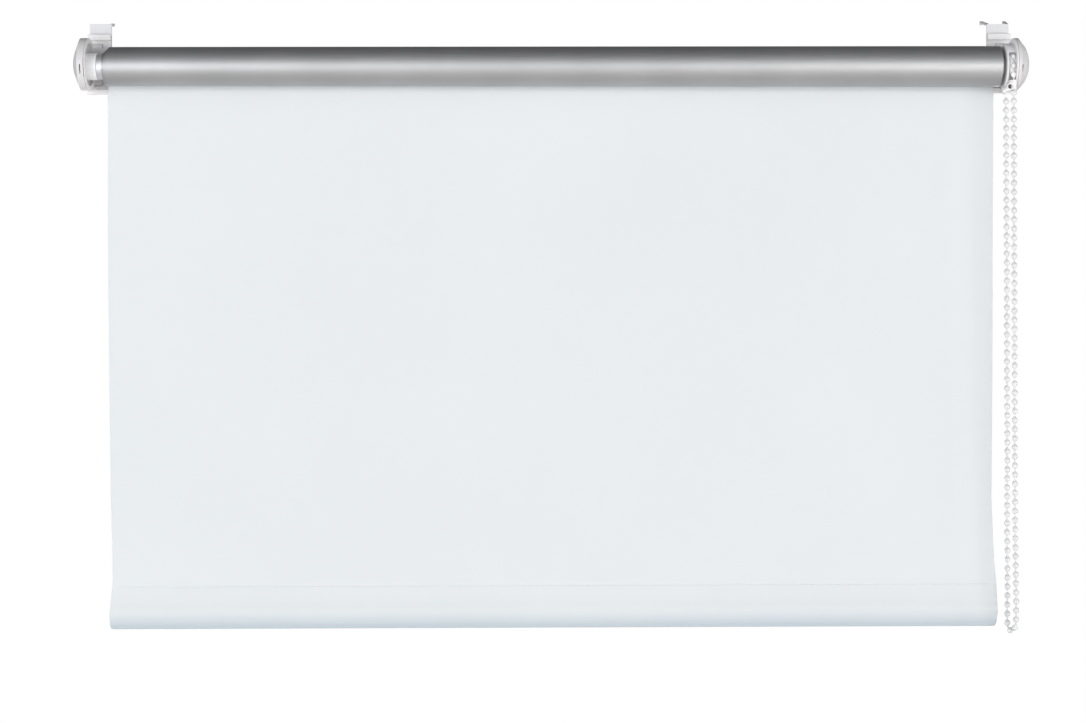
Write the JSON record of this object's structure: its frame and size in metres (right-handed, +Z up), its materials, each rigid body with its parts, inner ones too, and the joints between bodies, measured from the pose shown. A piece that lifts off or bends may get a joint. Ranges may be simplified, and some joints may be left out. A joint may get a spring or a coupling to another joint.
{
  "type": "roller blind",
  "caption": "Roller blind with clamp-on end brackets, silver-backed fabric wound on a tube, a hanging sheet with a weighted hem, and a bead chain drive at one end.",
  "frame": {"origin": "middle of the blind's width, where the sash's top front edge sits: the back of the clamp plates and the underside of the prongs where they leave the plates", "axes": "+X along the roller towards the chain, +Y into the window, +Z up"},
  "size_m": [0.6356, 0.0612, 0.4148],
  "materials": {
    "white_plastic": "moulded, satin",
    "cover_plastic": "moulded, satin",
    "inner_plastic": "moulded",
    "white_steel": "powder coated",
    "bright_steel": "zinc plated",
    "aluminium": "drawn",
    "tape": "film",
    "silver_fabric": "aluminised back",
    "white_fabric": "fine weave",
    "chain_plastic": "moulded"
  },
  "bodies": {
    "root": {"left_bracket": "white_plastic", "right_bracket": "white_plastic", "left_cover": "cover_plastic", "right_cover": "cover_plastic", "left_clamp_hook": "white_steel", "right_clamp_hook": "white_steel", "left_clamp_nut": "bright_steel", "right_clamp_nut": "bright_steel", "clutch_core": "inner_plastic", "chain_guard": "white_plastic", "hanging_sheet": "white_fabric"},
    "roller": {"roller_tube": "aluminium", "adhesive_strip": "tape", "wound_fabric": "silver_fabric", "idle_plug": "white_plastic", "idle_spring": "bright_steel", "tube_adapter": "inner_plastic"},
    "chain_wheel": {"chain_wheel": "inner_plastic", "wheel_beads": "chain_plastic", "clutch_springs": "bright_steel"},
    "idle_pin": {"idle_pin": "bright_steel"},
    "hem": {"hem_pocket": "white_fabric", "weight_bar": "aluminium"},
    "chain": {"bead_chain": "chain_plastic"},
    "left_screw": {"left_clamp_screw": "bright_steel"},
    "right_screw": {"right_clamp_screw": "bright_steel"}
  },
  "joints": [
    {"name": "roller_turn", "type": "hinge", "parent": "root", "child": "roller", "pos_m": [0, -0.0214, -0.0306], "axis": [1, 0, 0], "range_deg": [-4680, 1440]},
    {"name": "wheel_turn", "type": "hinge", "parent": "root", "child": "chain_wheel", "pos_m": [0.3059, -0.0214, -0.0306], "axis": [1, 0, 0], "range_deg": [-4680, 1440]},
    {"name": "hem_travel", "type": "slide", "parent": "root", "child": "hem", "axis": [0, 0, 1], "range_m": [-1.04, 0.32], "deforming": ["hanging_sheet"]},
    {"name": "pin_press", "type": "slide", "parent": "roller", "child": "idle_pin", "axis": [1, 0, 0], "range_m": [0, 0.005], "stiffness_N_per_m": 500, "springref_m": -0.004, "deforming": ["idle_spring"]},
    {"name": "chain_swing", "type": "hinge", "parent": "root", "child": "chain", "pos_m": [0.3059, -0.0214, -0.048], "axis": [0, -1, 0], "range_deg": [-15, 30]},
    {"name": "left_screw_feed", "type": "slide", "parent": "root", "child": "left_screw", "axis": [0, 1, 0], "range_m": [0, 0.0045]},
    {"name": "right_screw_feed", "type": "slide", "parent": "root", "child": "right_screw", "axis": [0, 1, 0], "range_m": [0, 0.0045]}
  ],
  "couplings": [
    {"joint": "wheel_turn", "follows": "roller_turn", "ratio": 1},
    {"joint": "hem_travel", "follows": "roller_turn", "m_per_rad": 0.01273}
  ]
}
